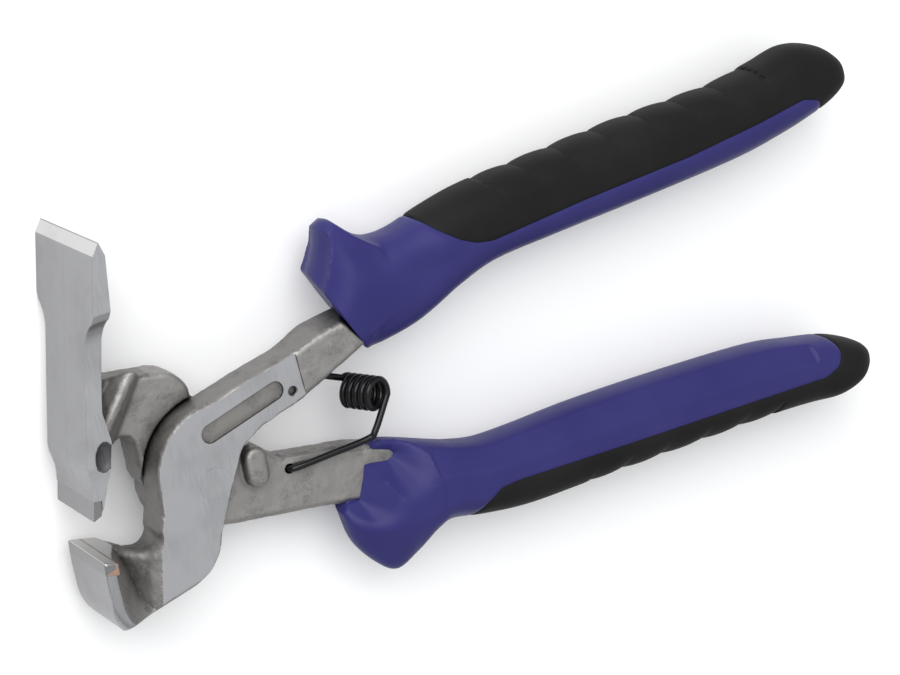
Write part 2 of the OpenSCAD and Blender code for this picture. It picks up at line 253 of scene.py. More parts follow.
def mesh_object(name, vertices, faces, crease=32):
    """Object from vertices and faces, smooth but with its sharp edges kept."""
    mesh = bpy.data.meshes.new(name)
    mesh.from_pydata(np.asarray(vertices).tolist(), [], faces)
    mesh.validate()
    mesh.polygons.foreach_set("use_smooth", [True] * len(mesh.polygons))
    mesh.set_sharp_from_angle(angle=math.radians(crease))
    obj = bpy.data.objects.new(name, mesh)
    bpy.context.scene.collection.objects.link(obj)
    return obj


def paint(obj, materials, choose):
    """Gives the object its materials, one of them for each face by choose(centre, normal) in mm."""
    for material in materials:
        obj.data.materials.append(material)
    count = len(obj.data.polygons)
    centre = np.zeros(count * 3)
    normal = np.zeros(count * 3)
    obj.data.polygons.foreach_get("center", centre)
    obj.data.polygons.foreach_get("normal", normal)
    index = choose(centre.reshape(-1, 3) / MM, normal.reshape(-1, 3)).astype(np.int32)
    obj.data.polygons.foreach_set("material_index", index)


# ---------------------------------------------------------------- Materials

def new_material(name, **sockets):
    """Material with its shader's sockets set. Returns the material, its node tree and the shader."""
    material = bpy.data.materials.new(name)
    material.use_nodes = True
    tree = material.node_tree
    shader = tree.nodes["Principled BSDF"]
    for socket, value in sockets.items():
        shader.inputs[socket.replace("_", " ")].default_value = value
    return material, tree, shader


def add_node(tree, kind, inputs=(), **settings):
    """Node of a kind, with its settings, its inputs given as (socket, value or output)."""
    node = tree.nodes.new(kind)
    for key, value in settings.items():
        setattr(node, key, value)
    for socket, value in inputs:
        if isinstance(value, bpy.types.NodeSocket):
            tree.links.new(value, node.inputs[socket])
        else:
            node.inputs[socket].default_value = value
    return node


def place(tree, scale=(1, 1, 1)):
    """Object coordinates, in mm, stretched by a scale."""
    coordinates = add_node(tree, "ShaderNodeTexCoord")
    mapping = add_node(tree, "ShaderNodeMapping", [
        ("Vector", coordinates.outputs["Object"]), ("Scale", [1000 * s for s in scale])])
    return mapping.outputs["Vector"]


def noise(tree, scale, stretch=(1, 1, 1), detail=3, roughness=0.55):
    """Noise with features of about 1 / scale mm."""
    node = add_node(tree, "ShaderNodeTexNoise", [
        ("Vector", place(tree, stretch)), ("Scale", scale), ("Detail", detail), ("Roughness", roughness)])
    return node.outputs["Fac"]


def ramp(tree, factor, low, high, ends):
    """Colour that runs from ends[0] to ends[1] as the factor goes from low to high."""
    node = add_node(tree, "ShaderNodeValToRGB", [("Fac", factor)])
    for element, position, colour in zip(node.color_ramp.elements, (low, high), ends):
        element.position = position
        element.color = (*colour, 1)
    return node.outputs["Color"]


def span(tree, factor, low, high, start, end):
    """A number from start to end as the factor goes from low to high."""
    node = add_node(tree, "ShaderNodeMapRange", [
        ("Value", factor), ("From Min", low), ("From Max", high), ("To Min", start), ("To Max", end)])
    return node.outputs["Result"]


def bump(tree, shader, layers):
    """Bumps on the shader, as (height, distance in mm, strength), one over the other."""
    normal = None
    for height, distance, strength in layers:
        inputs = [("Height", height), ("Distance", distance * MM), ("Strength", strength)]
        if normal is not None:
            inputs.append(("Normal", normal))
        normal = add_node(tree, "ShaderNodeBump", inputs).outputs["Normal"]
    tree.links.new(normal, shader.inputs["Normal"])


def ground_steel(name, dark, light, roughness, brush):
    """Ground steel with fine brush lines. brush stretches the lines' noise."""
    material, tree, shader = new_material(name, Metallic=1.0)
    lines = noise(tree, 5.0, brush, detail=4, roughness=0.65)
    cloud = noise(tree, 0.09, detail=2)
    mix = add_node(tree, "ShaderNodeMath", [(0, lines), (1, cloud)], operation="ADD").outputs["Value"]
    tree.links.new(ramp(tree, mix, 0.75, 1.25, (dark, light)), shader.inputs["Base Color"])
    sheen = span(tree, lines, 0.3, 0.7, roughness - 0.05, roughness + 0.07)
    tree.links.new(sheen, shader.inputs["Roughness"])
    bump(tree, shader, [(lines, 0.012, 0.35)])
    return material


def forged_steel(name, dark, light):
    """Tumbled forging: matt, grainy and a little blotchy, with painted shade that darkens its hollows."""
    material, tree, shader = new_material(name, Metallic=1.0)
    grain = noise(tree, 1.9, detail=5, roughness=0.7)
    pits = noise(tree, 6.0, detail=3, roughness=0.6)
    blotch = noise(tree, 0.22, detail=3)
    mix = add_node(tree, "ShaderNodeMath", [(0, grain), (1, blotch)], operation="ADD").outputs["Value"]
    # Painted shade: an ambient occlusion node darkens the base colour in hollows and crevices
    hollow_shade = add_node(tree, "ShaderNodeAmbientOcclusion", [
        ("Color", ramp(tree, mix, 0.7, 1.3, (dark, light))), ("Distance", 4.5 * MM)], samples=8)
    tree.links.new(hollow_shade.outputs["Color"], shader.inputs["Base Color"])
    tree.links.new(span(tree, grain, 0.3, 0.7, 0.46, 0.6), shader.inputs["Roughness"])
    bump(tree, shader, [(grain, 0.09, 0.5), (pits, 0.04, 0.45)])
    return material


def hard_metal(name, dark, light, roughness, fineness=4.0):
    """Sintered carbide or braze, from one colour to the other in a grain."""
    material, tree, shader = new_material(name, Metallic=1.0)
    grain = noise(tree, fineness, detail=3)
    tree.links.new(ramp(tree, grain, 0.35, 0.65, (dark, light)), shader.inputs["Base Color"])
    sheen = span(tree, grain, 0.3, 0.7, roughness - 0.05, roughness + 0.08)
    tree.links.new(sheen, shader.inputs["Roughness"])
    bump(tree, shader, [(grain, 0.02, 0.4)])
    return material


def moulded(name, dark, light, roughness, grain_size, grain_height, **sockets):
    """Moulded plastic or rubber with a fine eroded grain."""
    material, tree, shader = new_material(name, **sockets)
    grain = noise(tree, 1 / grain_size, detail=3)
    cloud = noise(tree, 0.06, detail=2)
    tree.links.new(ramp(tree, cloud, 0.35, 0.65, (dark, light)), shader.inputs["Base Color"])
    sheen = span(tree, grain, 0.3, 0.7, roughness - 0.04, roughness + 0.05)
    tree.links.new(sheen, shader.inputs["Roughness"])
    bump(tree, shader, [(grain, grain_height, 0.5)])
    return material


ALONG_Y = (1.0, 0.03, 0.6)
ALONG_Z = (1.0, 1.0, 0.03)
FACE = ground_steel("ground_face", (0.39, 0.39, 0.402), (0.46, 0.46, 0.474), 0.36, ALONG_Y)
# Darker copy of the ground steel for faces turned sideways, the plate's front and the jaw's front: painted
# shade
PLATE = ground_steel("ground_front_painted_shade", (0.25, 0.25, 0.257), (0.29, 0.29, 0.298), 0.36, ALONG_Y)
# Very dark copy of the ground steel for the dish: painted shade in the recess
DISH_SHADE = ground_steel("ground_dish_painted_shade", (0.075, 0.075, 0.08), (0.12, 0.12, 0.126), 0.6, ALONG_Y)
# Lighter copy of the ground steel for the plate's top bevel and the tops of the jaw and the tips: painted
# highlight
LIT_GROUND = ground_steel("ground_painted_highlight", (0.50, 0.495, 0.49), (0.56, 0.555, 0.55), 0.32, ALONG_Z)
FORGED = forged_steel("forged_skin", (0.22, 0.214, 0.205), (0.33, 0.321, 0.308))
JAW_EDGE = ground_steel("ground_jaw_edge", (0.32, 0.32, 0.328), (0.37, 0.37, 0.378), 0.38, ALONG_Y)
# Darker copy of the forged steel for faces turned towards -X or +Y: painted shade
SHADED_FLANK = forged_steel("forged_flank_painted_shade", (0.155, 0.15, 0.143), (0.245, 0.238, 0.228))
FLOOR_OF_SLOT = forged_steel("forged_slot_floor", (0.21, 0.20, 0.19), (0.30, 0.29, 0.275))
CARBIDE = hard_metal("sintered_carbide", (0.23, 0.23, 0.235), (0.27, 0.27, 0.275), 0.36)
SILVER = hard_metal("silver_braze", (0.24, 0.235, 0.23), (0.29, 0.285, 0.28), 0.38)
COPPER = hard_metal("copper_braze", (0.34, 0.30, 0.27), (0.52, 0.29, 0.20), 0.42, 0.9)
WIRE = moulded("black_spring_wire", (0.004, 0.004, 0.005), (0.007, 0.007, 0.008), 0.14, 0.4, 0.004,
               Specular_IOR_Level=0.25)
BLUE = moulded("blue_plastic", (0.024, 0.022, 0.118), (0.029, 0.027, 0.132), 0.42, 0.35, 0.010,
               Specular_IOR_Level=0.16)
RUBBER = moulded("black_rubber", (0.0075, 0.0075, 0.0075), (0.0105, 0.0104, 0.0102), 0.62, 0.25, 0.02,
                 Specular_IOR_Level=0.13)


# ---------------------------------------------------------------- Hook lever

HOOK_BODY = (2.3, 2.5)
HOOK_BODY_R = 15.7
BELLY = (-20.1, -17.5)
BELLY_R = (9.9, 11.0)
HOOK_EDGE = (-29.7, -6.9)
JAW_TOP = (-22.4, -9.0)
UPPER_HOLE = (22.1, 14.0)
ARM_TURN = 13.9
SLOT_A = (1.2, 11.4)
SLOT_B = (17.8, 15.5)
SLOT_R = 2.2
EDGE_HALF = 10.0
TIP_EDGE_R = 0.6
JAW_DEPTH = 11.0
NEAR_FLAT = 2.3
FAR_FLAT = 6.3
FAR_SLOPE = 2.6
SKIN_PROUD = 0.35
ROLL_START = -8.0
SLOT_DEPTH = 0.7
HOLE_R = 0.95
BORE_R = 3.05
SINK_DEPTH = 0.65
HOOK_FRONT = [HOOK_EDGE, (-30.0, -12.0)] + arc(BELLY, BELLY_R, 176, 275)
HOOK_OUTLINE = (
    arc(HOOK_BODY, HOOK_BODY_R, 90, 172)
    + [(-13.5, 0.5), (-13.9, -2.5)]
    + arc((-18.3, -6.5), 3.3, 5, -105, 12)
    + [JAW_TOP] + HOOK_FRONT
    + [(-16.0, -25.8)]
    + arc((-13.2, -9.0), 12.6, -72, -12)
    + arc((11.0, 2.8), 4.0, 163, 108)
    + [(14.0, 8.7), (24.5, 11.3), (37.0, 16.4), (44.5, 19.3), (44.5, 26.0), (36.5, 25.3), (31.0, 24.6),
       (26.5, 23.3), (22.0, 22.2), (10.3, 19.9)]
)
hook_side = plane_field(lambda x, y: polygon_distance(x, y, HOOK_OUTLINE), (-36, -34), (52, 34))
hook_depth = plane_field(lambda x, y: chain_distance(x, y, HOOK_FRONT), (-36, -34), (52, 34), 1)


def forging(p, coarse=0.10, fine=0.04):
    """Unevenness of a forged skin, in mm."""
    return coarse * lumps(p, 2.6, 1) + fine * lumps(p, 0.85, 2)


def past_pad(x, y):
    """How far a point lies past the end of the ground pad, towards the grip."""
    return x - 24.4 - 0.06 * (22.0 - y)


def jaw_field(p, rough):
    """Jaw: a wide curved plate that narrows behind its front, more gently towards the belly."""
    x, y, z = p.T
    depth = hook_depth(x, y)
    steep = 0.8 + 2.0 * np.exp(np.minimum(y + 8.0, 4.0) / 4.5)
    past = np.maximum(depth - NEAR_FLAT, 0)
    near = z - MID_Z - np.maximum(EDGE_HALF - past * steep, -1.5)
    near = near / np.hypot(1.0, np.where(past > 0, steep, 0)) + 0.5 * rough
    past = np.maximum(depth - FAR_FLAT, 0)
    far = MID_Z - z - (EDGE_HALF - past * FAR_SLOPE)
    far = far / np.hypot(1.0, np.where(past > 0, FAR_SLOPE, 0)) + 0.5 * rough
    # The near edge is crisp at the tip and rounder at the bottom of the belly
    near_r = TIP_EDGE_R + 2.2 * step_up((-16.0 - y) / 8.0)
    plate = both(both(hook_side(x, y), near, near_r), far, 0.5)
    return both(plate, depth - JAW_DEPTH, 0.8)


def hook_lever_field(p):
    x, y, z = p.T
    rough = forging(p)
    side = hook_side(x, y) + rough
    # Forged skin, a little proud of the ground face, and lower inside the grip
    hidden = step_up((0.828 * (x - 39.0) + 0.56 * (y - 21.35)) / 2.5)
    skin = both(side, z - JOINT_T - SKIN_PROUD + 3.0 * hidden + rough, 1.7)
    # Rolled off towards the jaw
    above = 2.5 * step_up((y - ROLL_START) / 6.0)
    roll = plane(p, (-14.8, ROLL_START, JOINT_T), (-0.729, 0.162, 0.665)) + rough
    skin = both(skin, roll - 0.8 - above, 2.0)
    # Round body and arm above the lap plane; the arm is thicker towards its grip
    under = JOINT_T / 2 + LAP_GAP / 2 - 1.95 * step_up((x - 22.0) / 8.0)
    arm = np.maximum(skin, under - z)
    # Neck outside the lap joint
    neck = both(skin, 5.0 - z, 1.2)
    neck = np.maximum(neck, np.maximum(14.0 - np.hypot(x, y), y + 2.0))
    body = np.minimum(either(arm, neck, 0.3), jaw_field(p, rough))
    # Ground face, from the roll-off to the end of its pad
    pad = np.minimum(z - JOINT_T, -past_pad(x, y))
    pad = np.minimum(pad, 0.5 * (1.6 + 0.729 * (x + 14.8) - 0.162 * (y - ROLL_START)) + 0.8 * above)
    body = np.maximum(body, pad)
    # Bevel under the neck
    body = both(body, plane(p, (-18.5, -22.4, 15.0), (0.19, -0.92, 0.34)), 0.6)
    # Slot with a forged floor
    slot = segment_distance(x, y, SLOT_A, SLOT_B) - SLOT_R
    body = np.maximum(body, -both(slot, JOINT_T - SLOT_DEPTH - z + 0.3 * rough, 0.25))
    # Hole for the spring, with a broken edge, closed just under the face
    hole = np.hypot(x - UPPER_HOLE[0], y - UPPER_HOLE[1])
    hole = hole - HOLE_R - np.maximum(z - JOINT_T + 0.25, 0)
    hole = np.maximum(hole, 0.4 - np.abs(z - JOINT_T + 1.5))
    body = np.maximum(body, -hole)
    # Bore and countersink of the rivet
    body = np.maximum(body, BORE_R + np.maximum(z - JOINT_T + SINK_DEPTH, 0) - np.hypot(x, y))
    # Seat of the carbide tip
    return np.maximum(body, -polygon_distance(x, y, HOOK_SEAT))


HOOK_TIP = [(-29.7, -6.9), (-27.15, -7.65), (-27.25, -10.2), (-30.0, -9.5)]
HOOK_BRAZE = [(-27.15, -7.6), (-26.85, -7.7), (-26.95, -10.45), (-30.0, -9.75), (-30.0, -9.5), (-27.65, -9.1)]
HOOK_SEAT = [(-32.15, -6.1), (-26.85, -6.7), (-26.95, -10.45), (-32.15, -9.2)]


def tip_field(outline, half_width, rough=0.02):
    """A tip between two ends, with slightly broken edges."""
    def field(p):
        side = polygon_distance(p[:, 0], p[:, 1], outline)
        return both(side, np.abs(p[:, 2] - MID_Z) - half_width, 0.06) + rough * lumps(p, 0.7, 5)
    return field


def bead_field(outline, half_width):
    """A braze seam that stands a little proud and uneven."""
    def field(p):
        swell = 0.03 + 0.05 * lumps(p, 1.3, 6)
        side = polygon_distance(p[:, 0], p[:, 1], outline) - swell
        return both(side, np.abs(p[:, 2] - MID_Z) - half_width - swell, 0.1)
    return field


def flush_field(field):
    """A tip or seam whose ends follow the rounded edge of the jaw it sits in."""
    def flush(p):
        edge = both(hook_side(p[:, 0], p[:, 1]), np.abs(p[:, 2] - MID_Z) - EDGE_HALF, TIP_EDGE_R)
        return np.maximum(field(p), edge - 0.03)
    return flush


def build_hook_lever():
    obj = field_mesh("hook_lever_forging", hook_lever_field, (-31.5, -30.5, -3.5), (45.5, 28.5, 18.5),
                     FINE, ARM_TURN)

    def choose(c, n):
        x, y, z = c.T
        from_front = chain_distance(x, y, HOOK_FRONT[:-3])
        ground = (np.abs(z - JOINT_T) < 0.04) & (n[:, 2] > 0.93)
        lap = (np.abs(z - (JOINT_T + LAP_GAP) / 2) < 0.03) & (n[:, 2] < -0.95)
        # The jaw's front gets the darker ground steel: painted shade
        front = (from_front < 0.3) & (x < -22)
        edge = (from_front < 2.6) & (z > MID_Z + EDGE_HALF - 1.5) & (n[:, 2] > 0.5)
        # The jaw's top gets the lighter ground steel: painted highlight
        top = (n[:, 1] > 0.85) & (x < -22.6) & (y < -5) & (y > -9.8)
        floor = (z > JOINT_T - 1.3) & (segment_distance(x, y, SLOT_A, SLOT_B) < SLOT_R - 0.1) & ~ground
        # Faces turned towards -X or +Y get the darker forged steel: painted shade
        flank = (n[:, 0] < -0.35) | (n[:, 1] > 0.6)
        return np.select([ground | lap, top, edge, front, floor, flank], [1, 4, 6, 2, 3, 5], 0)

    paint(obj, [FORGED, FACE, PLATE, FLOOR_OF_SLOT, LIT_GROUND, SHADED_FLANK, JAW_EDGE], choose)
    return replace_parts(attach(obj, "hook_side"), "hook_lever")


# ---------------------------------------------------------------- Blade lever

DISC_R = 13.0
RIVET_R = 3.0
RIVET_SINK = 0.7
LOWER_HOLE = (20.5, -5.7)
PLATE_TURN = -12.6
ARM_TOP = 8.1
NECK_TOP = 9.0
BLADE_OUTLINE = (
    arc((0, 0), DISC_R, 168, 280)
    + [(23.6, -16.7), (36.0, -19.3), (50.0, -22.5), (50.0, -11.0), (46.0, -9.4), (38.0, -6.9), (28.0, -4.9),
       (19.6, -3.2), (15.2, 0.5)]
    + arc((0, 0), DISC_R, 14, 44, 8)
    + arc((-6.0, 19.0), 7.2, 0, 80)
    + [(-14.2, 27.8), (-20.0, 29.5), (-23.5, 16.0)]
    + arc((-16.7, 12.4), 2.7, 100, 15, 8)
    + [(-13.9, 9.0), (-13.9, 4.8), (-13.3, 2.2)]
)
BLADE_EDGE = (-29.7, 2.75)
PLATE_SIDE = [
    (-16.9, 62.3), (-18.8, 59.7), (-28.65, 15.5), (-28.75, 13.8), (-28.55, 12.2), (-28.4, 10.6),
    (-28.5, 8.8), BLADE_EDGE,
    (-28.0, 3.4), (-26.9, 4.9), (-25.2, 9.1), (-23.5, 13.0), (-22.7, 15.5), (-22.1, 18.9), (-22.4, 21.8),
    (-22.7, 25.4), (-22.1, 28.4), (-20.7, 34.5), (-19.3, 40.5), (-17.5, 47.6), (-16.0, 59.1)
]
DISH = (-24.4, 15.8, 18.6)
DISH_SIZE = (2.1, 3.5, 1.6)
DISH_TURN = math.radians(13)
COVE = [(40.15 + 4.5 * (math.sin(a) + 0.3 * (1 - math.cos(a))), 10.5 + 4.5 * (1 - math.cos(a)))
        for a in np.radians(range(0, 80, 6))]
PLATE_HALF = ([(0.0, 0.0), (0.0, 9.7), (10.0, 9.9), (11.6, 10.05), (13.0, 10.3), (14.4, 10.6), (24.0, 10.6),
               (35.6, 10.5)] + COVE + [(47.4, 15.0), (64.0, 15.0), (64.0, 0.0)])
blade_side = plane_field(lambda x, y: polygon_distance(x, y, BLADE_OUTLINE), (-34, -34), (54, 34), 2)


def dish_field(p):
    """Oblong dish ground into the near side of the plate."""
    x, y, z = (p - np.array(DISH)).T
    c, s = math.cos(DISH_TURN), math.sin(DISH_TURN)
    q = np.stack([c * x - s * y, s * x + c * y, z], 1)
    return (np.linalg.norm(q / np.array(DISH_SIZE), axis=1) - 1) * DISH_SIZE[2]


def plate_field(p):
    """Cross plate: crisp ground faces, with its back edges a little rounded."""
    half = polygon_distance(p[:, 1], np.abs(p[:, 2] - MID_Z), PLATE_HALF)
    plate = both(polygon_distance(p[:, 0], p[:, 1], PLATE_SIDE), half, 0.12)
    return both(plate, -dish_field(p), 0.3)


def blade_lever_field(p):
    x, y, z = p.T
    rough = forging(p)
    side = blade_side(x, y) + rough
    lap = JOINT_T / 2 - LAP_GAP / 2
    # Round body under the lap plane
    disc = np.maximum(both(side, -0.3 - z + rough, 1.5), z - lap)
    # Arm, with a rough flash along its edge, thinner inside the grip
    hidden = 3.5 * step_up((x - 37.5) / 3.0)
    arm = both(both(side, z - ARM_TOP + rough, 1.3), hidden - 0.3 - z + rough, 1.5)
    arm = np.maximum(arm, 0.35 + 0.9 * np.maximum(y + 2.0, 0) - hook_side(x, y))
    arm = np.maximum(arm, -x)
    flash = both(blade_side(x, y) - 0.3 - 0.45 * lumps(p, 1.1, 3), np.abs(z - 5.2) - 0.9, 0.4)
    flash = np.maximum(flash, np.maximum(19.0 - x, x - 36.0))
    # Neck beside the hook lever's round body
    neck = both(both(side, z - NECK_TOP + rough, 1.2), 1.0 - z + rough, 1.2)
    room = HOOK_BODY_R + 0.45 - np.hypot(x - HOOK_BODY[0], y - HOOK_BODY[1])
    room = np.maximum(room, np.minimum(plane(p, (2.0, 18.7, 0), (0.203, -0.979, 0)), x))
    neck = both(neck, room, 0.4)
    neck = np.maximum(neck, 2.4 - y)
    # Flare from the neck to the plate, under a slanted roof with a ridge
    roof = plane(p, (-11.0, 30.1, 12.0), (-0.518, 0.636, 0.571)) + rough
    wall = plane(p, (-9.3, 27.2, NECK_TOP), (0.575, -0.41, 0.709)) + rough
    flare = both(both(side - 2.7 * step_up((z - 6.0) / 6.0), roof, 1.0), wall, 2.0)
    flare = both(flare, 1.0 - 0.3 * np.maximum(-14.0 - x, 0) - z, 1.0)
    flare = np.maximum(flare, x + 7.0)
    # Left of the crease, the flare stands alone
    left = plane(p, (-9.3, 27.2, 0), (-0.814, 0.581, 0))
    alone = np.minimum(left, np.maximum(roof, wall))
    forged = np.maximum(either(either(disc, arm, 0.5), neck, 0.2), alone)
    forged = either(forged, flare, 0.5)
    forged = np.minimum(forged, either(forged, flash, 0.5))
    boss = segment_distance(x, y, (12.25, -3.8), (12.25, 0.2)) - 2.75
    forged = either(forged, both(boss + 0.5 * rough, z - 10.8, 1.4), 0.6)
    forged = np.maximum(forged, -z)
    body = either(forged, plate_field(p), 1.0)
    # Bore, countersink and the hole for the spring
    body = np.maximum(body, RIVET_R + np.maximum(RIVET_SINK - z, 0) - np.hypot(x, y))
    hole = HOLE_R + 0.4 * np.maximum(z - ARM_TOP + 0.5, 0)
    body = np.maximum(body, hole - np.hypot(x - LOWER_HOLE[0], y - LOWER_HOLE[1]))
    return np.maximum(body, -polygon_distance(x, y, BLADE_SEAT))


BLADE_TIP = [BLADE_EDGE, (-28.75, 6.9), (-27.2, 6.55), (-27.55, 4.6), (-28.0, 3.4)]
BLADE_BRAZE = [(-28.75, 6.9), (-28.7, 7.1), (-26.95, 6.75), (-27.3, 4.6), (-27.8, 3.45), (-28.4, 3.6),
               (-28.0, 5.0)]
BLADE_SEAT = [(-31.0, 0.0), (-31.0, 7.6), (-28.7, 7.1), (-26.95, 6.75), (-27.3, 4.6), (-27.8, 3.4),
              (-28.2, 2.4)]


def build_blade_lever():
    obj = field_mesh("blade_lever_forging", blade_lever_field, (-31.0, -23.5, -8.5), (50.5, 63.5, 23.5),
                     FINE, PLATE_TURN)

    def choose(c, n):
        x, y, z = c.T
        on_plate = np.abs(plate_field(c)) < 0.05
        # The plate's top bevel gets the lighter ground steel: painted highlight
        bevel = on_plate & (n[:, 1] > 0.5) & (n[:, 0] < -0.7) & (y > 58)
        # The dish gets the very dark ground steel: painted shade
        dish = np.abs(dish_field(c)) < 0.15
        # The plate's faces towards Z take the ground face's steel, its other faces the darker copy: painted
        # shade
        side = on_plate & (np.abs(n[:, 2]) > 0.5)
        lap = (np.abs(z - (JOINT_T - LAP_GAP) / 2) < 0.03) & (n[:, 2] > 0.95) & (np.hypot(x, y) < DISC_R)
        back = (np.abs(z) < 0.03) & (n[:, 2] < -0.95) & (x > -20) & (x < 24)
        # Flare faces turned towards -X or +Y get the darker forged steel: painted shade
        flare = (x < -7) & ((n[:, 0] < -0.25) | (n[:, 1] > 0.5))
        return np.select([dish, bevel, side, on_plate, lap | back, flare], [4, 3, 1, 2, 1, 5], 0)

    paint(obj, [FORGED, FACE, PLATE, LIT_GROUND, DISH_SHADE, SHADED_FLANK], choose)
    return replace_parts(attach(obj, "blade_side"), "blade_lever")


def build_tip(name, field, low_y, body, node, materials):
    """One tip or seam. Its materials are for its ends and back, its front, and its top."""
    def choose(c, n):
        return np.where(n[:, 1] > 0.6, 2, n[:, 0] < -0.5)

    obj = field_mesh(name, field, (-31.5, low_y, -3.5), (-25.0, low_y + 6.5, 18.5), TIP_STEP)
    paint(obj, materials, choose)
    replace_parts(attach(obj, body), node)


def build_tips():
    # The tips' tops get the lighter ground steel: painted highlight
    ground_tip = [CARBIDE, CARBIDE, LIT_GROUND]
    build_tip("hook_carbide", flush_field(tip_field(HOOK_TIP, EDGE_HALF)), -11.5,
              "hook_side", "hook_carbide_tip", ground_tip)
    build_tip("hook_braze_seam", flush_field(bead_field(HOOK_BRAZE, EDGE_HALF)), -11.5,
              "hook_side", "hook_tip_braze", [COPPER, SILVER, COPPER])
    build_tip("blade_carbide", tip_field(BLADE_TIP, 9.7), 1.5,
              "blade_side", "blade_carbide_tip", ground_tip)
    build_tip("blade_braze_seam", bead_field(BLADE_BRAZE, 9.6), 1.5,
              "blade_side", "blade_tip_braze", [SILVER, SILVER, SILVER])


# ---------------------------------------------------------------- Spring

WIRE_R = 0.775
COIL_LOW = np.array([40.1, 5.2, 3.4])
COIL_HIGH = np.array([44.1, 4.7, 11.3])
COIL_R = 3.3
COIL_TURNS = 5
COIL_START = 100
COIL_END = -20
DOME = (1.0, 0.8, 0.4)
UPPER_LEG = [(22.1, 14.0, 11.5), (22.1, 14.0, 9.0), (22.15, 14.0, 6.6), (22.9, 13.85, 5.0),
             (25.2, 13.5, 4.3), (31.0, 12.4, 4.1)]
LOWER_LEG = [(41.4, -3.0, 11.6), (39.4, -4.5, 11.2), (30.5, -5.1, 10.2), (22.4, -5.6, 9.3),
             (20.7, -5.7, 8.3), (20.5, -5.7, 6.6), (20.5, -5.7, 1.5)]


def curve(points, steps):
    """Catmull-Rom curve through points, with so many steps a span."""
    points = np.array(points, float)
    padded = np.vstack([2 * points[0] - points[1], points, 2 * points[-1] - points[-2]])
    t = (np.arange(steps) / steps)[:, None]
    spans = []
    for p, q, r, w in zip(padded[:-3], padded[1:-2], padded[2:-1], padded[3:]):
        spans.append(0.5 * (2 * q + (r - p) * t + (2 * p - 5 * q + 4 * r - w) * t ** 2
                            + (3 * q - p - 3 * r + w) * t ** 3))
    return np.vstack(spans + [points[-1:]])


def coil_points():
    """The coil, from the upper leg's side to the lower leg's side."""
    axis = (COIL_HIGH - COIL_LOW) / np.linalg.norm(COIL_HIGH - COIL_LOW)
    u = np.cross([0, 1, 0], axis)
    u /= np.linalg.norm(u)
    v = np.cross(axis, u)
    t = np.linspace(0, 1, 48 * COIL_TURNS + 1)[:, None]
    angle = np.radians(COIL_START + (COIL_END - 360 * COIL_TURNS - COIL_START) * t)
    return COIL_LOW + (COIL_HIGH - COIL_LOW) * t + COIL_R * (np.cos(angle) * u + np.sin(angle) * v)


def wire_mesh(name, path, around=20):
    """Round wire along a path, with domed ends."""
    tangent = np.gradient(path, axis=0)
    tangent /= np.linalg.norm(tangent, axis=1, keepdims=True)
    side = np.array([0.3, 0.9, 0.2])
    angle = np.linspace(0, 2 * math.pi, around, endpoint=False)[:, None]
    rings = []
    stations = [(0, -dome) for dome in DOME]
    stations += [(i, 0.0) for i in range(len(path))]
    stations += [(-1, dome) for dome in reversed(DOME)]
    for i, dome in stations:
        side = side - (side @ tangent[i]) * tangent[i]
        side = side / np.linalg.norm(side)
        other = np.cross(tangent[i], side)
        radius = WIRE_R * math.sqrt(max(1 - dome * dome, 0.002))
        centre = path[i] + 0.5 * WIRE_R * dome * tangent[i]
        rings.append(centre + radius * (np.cos(angle) * side + np.sin(angle) * other))
    count = len(rings)
    k, j = np.meshgrid(np.arange(count - 1), np.arange(around), indexing="ij")
    k, j, n = k.ravel(), j.ravel(), (j.ravel() + 1) % around
    faces = np.stack([k * around + j, k * around + n, (k + 1) * around + n, (k + 1) * around + j], 1)
    caps = [list(range(around))[::-1], [(count - 1) * around + i for i in range(around)]]
    obj = mesh_object(name, np.vstack(rings) * MM, faces.tolist() + caps, 60)
    obj.data.materials.append(WIRE)
    return obj


def build_spring():
    """The spring in three pieces of wire, an upper leg, the coil and a lower leg, each leg running from its
    lever's hole into the coil.
    """
    coil = coil_points()
    before = coil[0] - 0.06 * (coil[1] - coil[0]) / np.linalg.norm(coil[1] - coil[0])
    upper = np.vstack([curve(UPPER_LEG + [tuple(before)], 8), coil[:2]])
    lower = np.vstack([coil[-2:], curve([tuple(coil[-1] + 0.3 * (coil[-1] - coil[-2]))] + LOWER_LEG, 8)])
    middle = coil.mean(axis=0)
    reach = np.array([100.0, 0.0, 0.0])
    pieces = [
        ("spring_upper_leg", upper, upper[0], 2 * coil[0] - upper[0]),
        ("spring_coil", coil, middle - reach, middle + reach),
        ("spring_lower_leg", lower, 2 * coil[-1] - lower[-1], lower[-1]),
    ]
    for name, path, start, end in pieces:
        obj = wire_mesh(name, path)
        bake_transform(obj)
        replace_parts(obj, "return_spring")


# ---------------------------------------------------------------- Grips

# Stations of a grip: outer x and y, inner x and y, and half depth as a part of GRIP_HALF
GRIP_HALF = 8.3
COVER_T = 2.5
UPPER_STATIONS = [
    (34.0, 33.0, 41.9, 14.8, 1.04), (37.2, 39.0, 44.7, 15.4, 1.02), (39.6, 45.8, 47.5, 15.4, 1.0),
    (42.6, 44.4, 50.0, 15.7, 1.0), (46.8, 40.9, 53.0, 16.2, 1.0), (52.2, 39.3, 57.2, 17.2, 1.02),
    (58.0, 39.6, 62.2, 19.0, 1.02), (66.0, 41.7, 69.5, 22.0, 1.0), (77.0, 43.6, 79.5, 24.8, 1.0),
    (95.0, 44.7, 96.0, 25.7, 1.0), (120.0, 46.0, 120.5, 26.6, 1.0), (147.0, 46.6, 147.0, 28.0, 1.0),
    (160.0, 48.4, 161.0, 29.9, 1.0), (169.0, 50.0, 171.0, 32.0, 0.98), (176.5, 48.2, 177.5, 33.9, 0.86),
    (181.4, 44.4, 182.0, 36.2, 0.6), (183.4, 41.2, 183.6, 38.2, 0.2)
]
